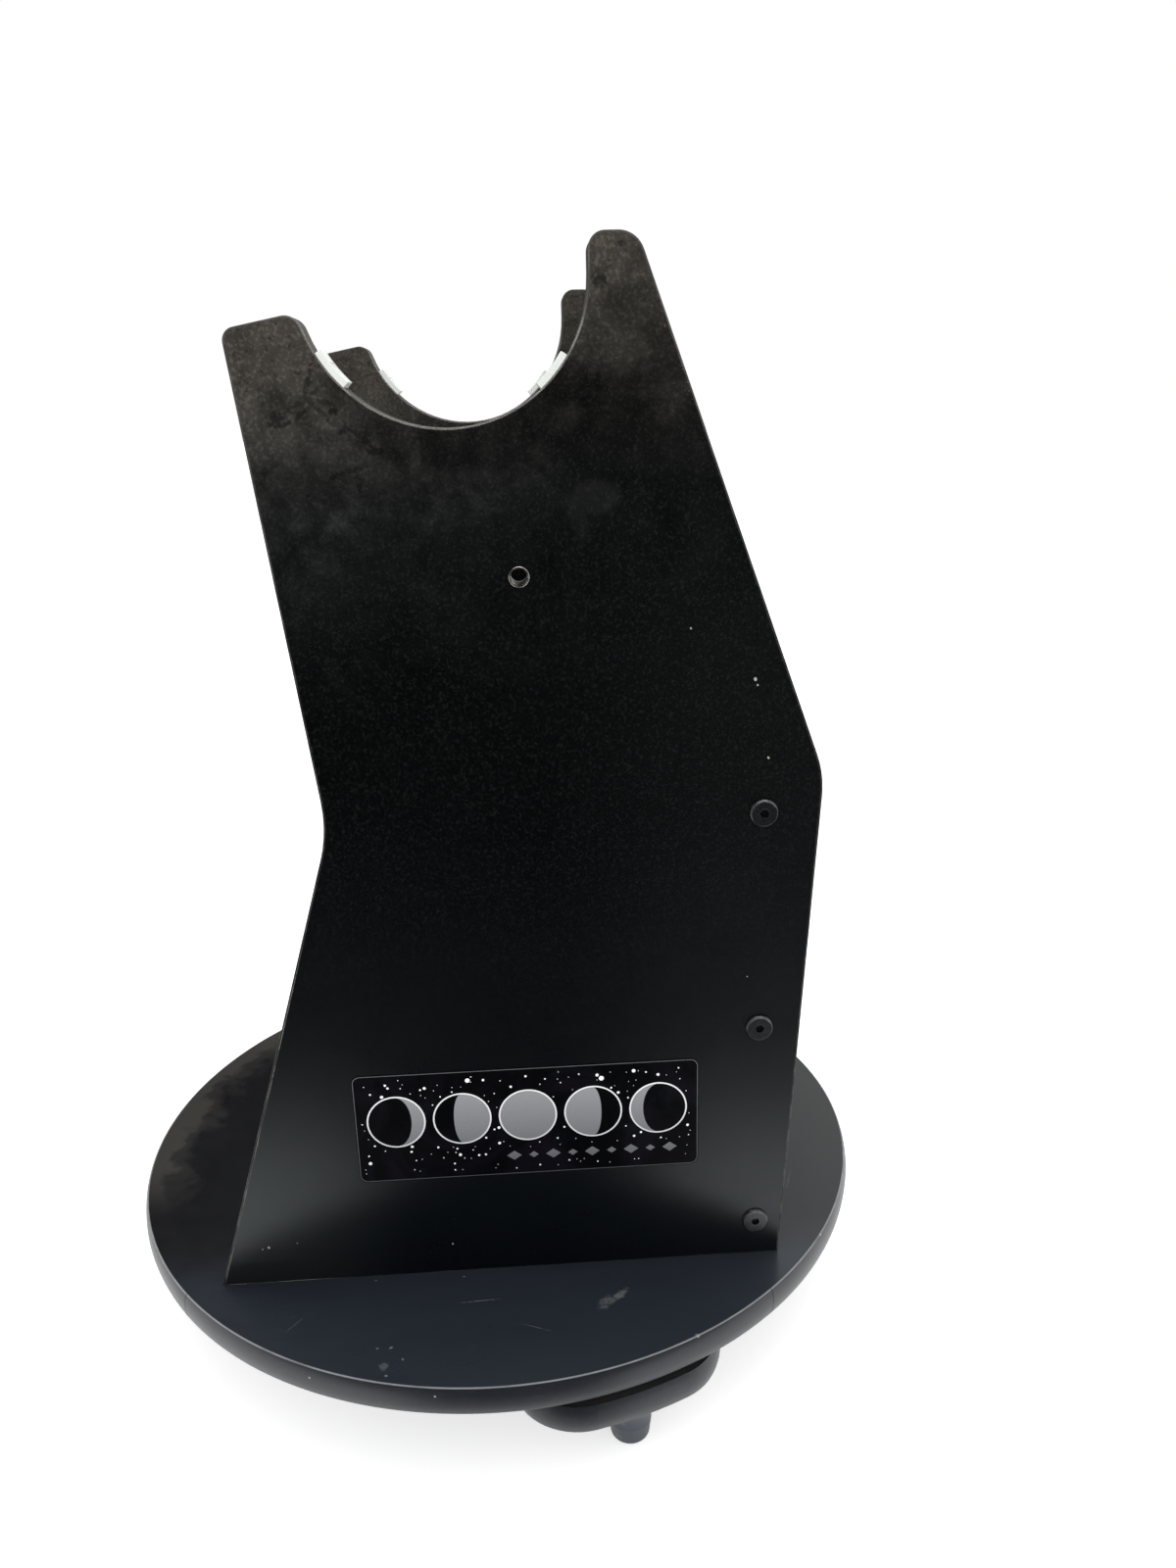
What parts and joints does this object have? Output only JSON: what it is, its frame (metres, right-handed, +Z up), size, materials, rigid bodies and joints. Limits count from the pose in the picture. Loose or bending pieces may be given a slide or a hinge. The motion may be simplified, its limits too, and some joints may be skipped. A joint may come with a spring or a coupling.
{
  "type": "dobsonian telescope mount",
  "caption": "Dobsonian telescope mount: rocker box with curved altitude cradles and a spring bushing in each side panel, turning on a lobed ground board with feet.",
  "frame": {"origin": "on the floor under the vertical pivot bolt, at the bottom centre of the mount", "axes": "+Z up along the azimuth axis, +X towards the front brace, -Y towards the side panel that carries the label"},
  "size_m": [0.5244, 0.5244, 0.6873],
  "materials": {
    "melamine_board": "satin black melamine over particle board",
    "edge_banding": "satin",
    "vinyl_moulding": "satin",
    "white_bearing_plastic": "smooth, slightly waxy",
    "plated_steel": "zinc plated",
    "nylon": "smooth",
    "nickel_ferrule": "nickel plated",
    "black_screw": "black oxide",
    "running_laminate": "textured laminate",
    "foot_plastic": "moulded",
    "vinyl_label": "printed vinyl"
  },
  "bodies": {
    "ground": {"ground_board": "melamine_board", "ground_board_moulding": "vinyl_moulding", "foot_front": "foot_plastic", "foot_far": "foot_plastic", "foot_rear": "foot_plastic", "foot_screws": "plated_steel", "azimuth_pad_front": "white_bearing_plastic", "azimuth_pad_far": "white_bearing_plastic", "azimuth_pad_rear": "white_bearing_plastic", "azimuth_pad_nails": "plated_steel", "pivot_bolt": "plated_steel", "pivot_locknut": "plated_steel", "locknut_insert": "nylon", "pivot_washer_upper": "plated_steel", "pivot_washer_lower": "plated_steel"},
    "rocker": {"side_panel_near": "melamine_board", "side_panel_far": "melamine_board", "front_brace": "melamine_board", "rocker_base_board": "melamine_board", "panel_edge_band_near": "edge_banding", "panel_edge_band_far": "edge_banding", "brace_top_band": "edge_banding", "rocker_base_moulding": "vinyl_moulding", "altitude_pad_near_rear": "white_bearing_plastic", "altitude_pad_near_front": "white_bearing_plastic", "altitude_pad_far_rear": "white_bearing_plastic", "altitude_pad_far_front": "white_bearing_plastic", "altitude_pad_tacks": "plated_steel", "pivot_bushing": "nylon", "spring_bushing_near": "nickel_ferrule", "spring_bushing_far": "nickel_ferrule", "panel_screws": "black_screw", "base_screws": "black_screw", "azimuth_track": "running_laminate", "name_label": "vinyl_label"}
  },
  "joints": [
    {"name": "azimuth_turn", "type": "hinge", "parent": "ground", "child": "rocker", "pos_m": [0, 0, 0.057], "axis": [0, 0, 1], "continuous": true}
  ]
}
